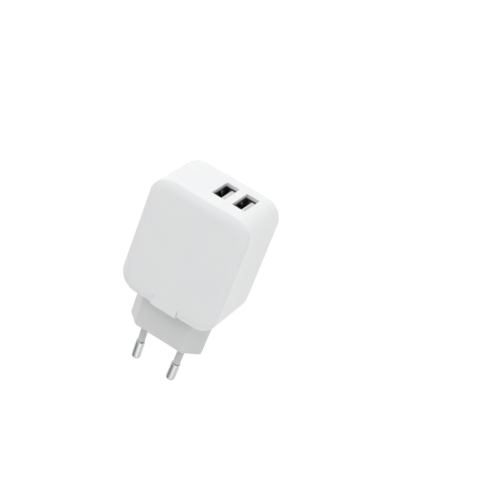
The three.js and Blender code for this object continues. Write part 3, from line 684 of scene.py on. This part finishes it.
class Look:
    """A principled material whose details are added with small calls."""

    def __init__(self, name, metallic=0.0):
        self.material = bpy.data.materials.new(name)
        self.material.use_nodes = True
        self.tree = self.material.node_tree
        self.shader = self.tree.nodes["Principled BSDF"]
        self.coordinates = self.tree.nodes.new("ShaderNodeTexCoord").outputs["Object"]
        socket_value(self.shader, "Metallic", metallic)

    def noise(self, scale, detail=3.0, rough=0.5, stretch=None):
        source = self.coordinates
        if stretch:
            mapping = self.tree.nodes.new("ShaderNodeMapping")
            mapping.inputs["Scale"].default_value = stretch
            self.tree.links.new(source, mapping.inputs["Vector"])
            source = mapping.outputs["Vector"]
        node = self.tree.nodes.new("ShaderNodeTexNoise")
        node.inputs["Scale"].default_value = scale
        node.inputs["Detail"].default_value = detail
        node.inputs["Roughness"].default_value = rough
        self.tree.links.new(source, node.inputs["Vector"])
        return node.outputs["Fac"]

    def colour(self, source, first, second):
        node = self.tree.nodes.new("ShaderNodeValToRGB")
        node.color_ramp.elements[0].position = RAMP_START
        node.color_ramp.elements[0].color = (*first, 1)
        node.color_ramp.elements[1].position = RAMP_END
        node.color_ramp.elements[1].color = (*second, 1)
        self.tree.links.new(source, node.inputs["Fac"])
        self.tree.links.new(node.outputs["Color"], self.shader.inputs["Base Color"])

    def roughness(self, source, low, high):
        node = self.tree.nodes.new("ShaderNodeMapRange")
        node.inputs["From Min"].default_value = RAMP_START
        node.inputs["From Max"].default_value = RAMP_END
        node.inputs["To Min"].default_value = low
        node.inputs["To Max"].default_value = high
        self.tree.links.new(source, node.inputs["Value"])
        self.tree.links.new(node.outputs["Result"], self.shader.inputs["Roughness"])

    def bump(self, source, distance):
        node = self.tree.nodes.new("ShaderNodeBump")
        node.inputs["Strength"].default_value = BUMP_STRENGTH
        node.inputs["Distance"].default_value = distance
        self.tree.links.new(source, node.inputs["Height"])
        self.tree.links.new(node.outputs["Normal"], self.shader.inputs["Normal"])


def grained(name, first, second, low, high, grain, height, metallic=0.0, stretch=None):
    """A material that drifts between two colours and two roughnesses, with a fine grain of some height."""
    look = Look(name, metallic)
    look.colour(look.noise(90, 4), first, second)
    look.roughness(look.noise(260, 4, stretch=stretch), low, high)
    look.bump(look.noise(grain, 3, 0.55, stretch), height)
    return look


housing = grained("moulded white plastic", (0.795, 0.8, 0.808), (0.808, 0.812, 0.819),
                  0.38, 0.48, 5200, FINE_GRAIN)
# The plug is the housing's white plastic made about a seventh darker: painted shade, so the plug reads shaded
# beside the body.
plug_plastic = grained("plug plastic", (0.67, 0.674, 0.681), (0.681, 0.684, 0.69),
                       0.38, 0.48, 5200, FINE_GRAIN)
for look in (housing, plug_plastic):
    socket_value(look.shader, "Subsurface Weight", 0.06)
    socket_value(look.shader, "Subsurface Radius", (0.6, 0.6, 0.6))
    socket_value(look.shader, "Subsurface Scale", 0.0008)
LOOKS = {
    "housing": housing,
    "plug_plastic": plug_plastic,
    "pin_sleeve": grained("grey pin sleeve", (0.55, 0.56, 0.57), (0.60, 0.605, 0.615),
                          0.38, 0.5, 4200, FINE_GRAIN),
    "pin_metal": grained("nickel plating", (0.60, 0.61, 0.62), (0.67, 0.68, 0.685),
                         0.24, 0.34, 2600, 0.0000015, METAL, (1, 0.06, 1)),
    "contact_brass": grained("stamped brass", (0.62, 0.45, 0.18), (0.72, 0.55, 0.25),
                             0.28, 0.42, 2400, 0.000003, METAL),
    # The sockets' tinned sheet gets a colour far darker than bright tin: painted shade for the shade deep
    # inside the openings.
    "port_steel": grained("tinned sheet", (0.17, 0.175, 0.18), (0.23, 0.235, 0.24),
                          0.3, 0.42, 1800, 0.000003, METAL, (1, 0.1, 1)),
    "gold_contact": grained("gold plating", (0.78, 0.56, 0.22), (0.85, 0.65, 0.3),
                            0.2, 0.32, 2600, 0.000002, METAL),
    "port_plastic": grained("socket plastic", (0.62, 0.62, 0.625), (0.66, 0.66, 0.665),
                            0.4, 0.5, 3800, FINE_GRAIN),
    "board": grained("solder mask", (0.015, 0.1, 0.035), (0.02, 0.13, 0.045),
                     0.3, 0.5, 1400, 0.00001),
    "sheet": grained("insulating film", (0.6, 0.6, 0.55), (0.66, 0.66, 0.6),
                     0.25, 0.4, 900, 0.000006),
    "ferrite": grained("sintered ferrite", (0.03, 0.03, 0.033), (0.06, 0.06, 0.062),
                       0.55, 0.75, 2400, 0.00002),
    "bobbin": grained("bobbin plastic", (0.008, 0.008, 0.009), (0.014, 0.014, 0.015),
                      0.4, 0.55, 2600, 0.00001),
    "tape": grained("wound film tape", (0.7, 0.42, 0.02), (0.78, 0.5, 0.04),
                    0.22, 0.4, 700, 0.00002, stretch=(1, 1, 9)),
    "capacitor_sleeve": grained("shrunk sleeve", (0.012, 0.022, 0.055), (0.018, 0.03, 0.07),
                                0.2, 0.34, 1500, 0.00001),
    "coating_blue": grained("dipped coating", (0.02, 0.13, 0.36), (0.03, 0.17, 0.44),
                            0.22, 0.4, 900, 0.00002),
    "chip": grained("moulded epoxy", (0.01, 0.01, 0.011), (0.02, 0.02, 0.021),
                    0.5, 0.7, 3200, 0.00001),
}
NEW_PIECE_SLOTS = {
    "charger_": "housing",
    "plug_": "plug_plastic",
    "pin_metal": "pin_metal",
    "pin_cover": "pin_sleeve",
    "socket_shell": "port_steel",
    "socket_tongue": "port_plastic",
    "socket_contact": "gold_contact",
}


def paint(obj, look):
    """Gives an object one material."""
    obj.data.materials.clear()
    obj.data.materials.append(look.material)


slots = {part["node"]: part["material_slot"] for part in frame["record"]["subparts"]}
for node, obj in frame["nodes"].items():
    paint(obj, LOOKS[slots[node]])
for obj in bpy.context.scene.objects:
    if obj.type == "MESH" and obj.name not in frame["nodes"]:
        for prefix, slot in NEW_PIECE_SLOTS.items():
            if obj.name.startswith(prefix):
                paint(obj, LOOKS[slot])


# ---- floor, light and camera ----

FLOOR_REACH = 60.0
FLOOR_DROP = 0.01
FLOOR_GLOW = 0.9
LIGHT_DISTANCE = 0.9
LIGHT_SIZE = 0.55


def make_floor():
    """A wide floor just under the charger, glowing like a light table: it stays pale, with faint shadows."""
    z = (REAR_Z - FLOOR_DROP) * MM
    corners = [(x * FLOOR_REACH, y * FLOOR_REACH, z) for x, y in ((-1, -1), (1, -1), (1, 1), (-1, 1))]
    mesh = bpy.data.meshes.new("floor")
    mesh.from_pydata(corners, [], [(0, 1, 2, 3)])
    floor = bpy.data.objects.new("floor", mesh)
    bpy.context.scene.collection.objects.link(floor)
    look = Look("pale floor")
    look.colour(look.noise(3, 2), (0.148, 0.148, 0.148), (0.152, 0.152, 0.152))
    socket_value(look.shader, "Roughness", 0.9)
    socket_value(look.shader, "Specular IOR Level", 0.0)
    socket_value(look.shader, "Emission Color", (1, 1, 1, 1))
    socket_value(look.shader, "Emission Strength", FLOOR_GLOW)
    paint(floor, look)


def make_light(name, azimuth, elevation, power):
    """A square soft light that shines at the body's middle. Azimuth is from +X towards +Y, in degrees."""
    data = bpy.data.lights.new(name, "AREA")
    data.shape = "SQUARE"
    data.size = LIGHT_SIZE
    data.energy = power
    light = bpy.data.objects.new(name, data)
    turn, rise = math.radians(azimuth), math.radians(elevation)
    direction = Vector((math.cos(rise) * math.cos(turn), math.cos(rise) * math.sin(turn), math.sin(rise)))
    light.location = Vector((0, MID_Y * MM, 0)) + direction * LIGHT_DISTANCE
    light.rotation_mode = "QUATERNION"
    light.rotation_quaternion = direction.to_track_quat("Z", "Y")
    bpy.context.scene.collection.objects.link(light)


make_floor()
# Each light's name, azimuth and elevation in degrees, and power in watts.
for settings in (
    ("usb_end_light", 270, 30, 1.35),
    ("usb_end_high_light", 270, 50, 0.5),
    ("usb_right_low_light", 225, 12, 0.25),
    ("left_high_light", 0, 60, 0.8),
    ("usb_left_light", 315, 30, 2.25),
    ("plug_end_low_light", 90, 12, 1.0),
    ("plug_right_light", 135, 30, 1.0),
    ("usb_right_light", 225, 30, 0.95),
    ("plug_end_high_light", 90, 60, 0.55),
    ("plug_right_high_light", 135, 60, 0.75),
):
    make_light(*settings)

# The sky is as bright as the floor at the horizon, so that no edge shows in a low view, and dimmer above.
HORIZON_GLOW = 0.94
HORIZON_HEIGHT = 0.15
SKY_GLOW = 0.3
world = bpy.data.worlds.new("studio")
world.use_nodes = True
background = world.node_tree.nodes["Background"]
background.inputs["Color"].default_value = (1, 1, 1, 1)
direction = world.node_tree.nodes.new("ShaderNodeTexCoord").outputs["Generated"]
height = world.node_tree.nodes.new("ShaderNodeSeparateXYZ")
fade = world.node_tree.nodes.new("ShaderNodeMapRange")
fade.inputs["From Max"].default_value = HORIZON_HEIGHT
fade.inputs["To Min"].default_value = HORIZON_GLOW
fade.inputs["To Max"].default_value = SKY_GLOW
world.node_tree.links.new(direction, height.inputs["Vector"])
world.node_tree.links.new(height.outputs["Z"], fade.inputs["Value"])
world.node_tree.links.new(fade.outputs["Result"], background.inputs["Strength"])
bpy.context.scene.world = world

# The camera looks down on the front from the USB end, rolled so that the pins point down and to the left.
CAMERA_PLACE = Vector((-155.4, -322.9, 445.1))
CAMERA_FORWARD = Vector((0.2615, 0.4952, -0.8285)).normalized()
CAMERA_RIGHT = Vector((-0.830, -0.3227, -0.4549))
SENSOR_WIDTH = 36
LENS = 103.44
camera_data = bpy.data.cameras.new("camera")
camera_data.sensor_width = SENSOR_WIDTH
camera_data.lens = LENS
camera_data.clip_start = 0.01
camera_data.clip_end = 20
camera = bpy.data.objects.new("camera", camera_data)
right = (CAMERA_RIGHT - CAMERA_FORWARD * CAMERA_RIGHT.dot(CAMERA_FORWARD)).normalized()
up = right.cross(CAMERA_FORWARD)
camera.rotation_mode = "QUATERNION"
camera.rotation_quaternion = Matrix((right, up, -CAMERA_FORWARD)).transposed().to_quaternion()
camera.location = CAMERA_PLACE * MM
bpy.context.scene.collection.objects.link(camera)
bpy.context.scene.camera = camera

view = bpy.context.scene.view_settings
view.view_transform = "Standard"
view.look = "None"
view.exposure = 0.0
view.gamma = 1.0
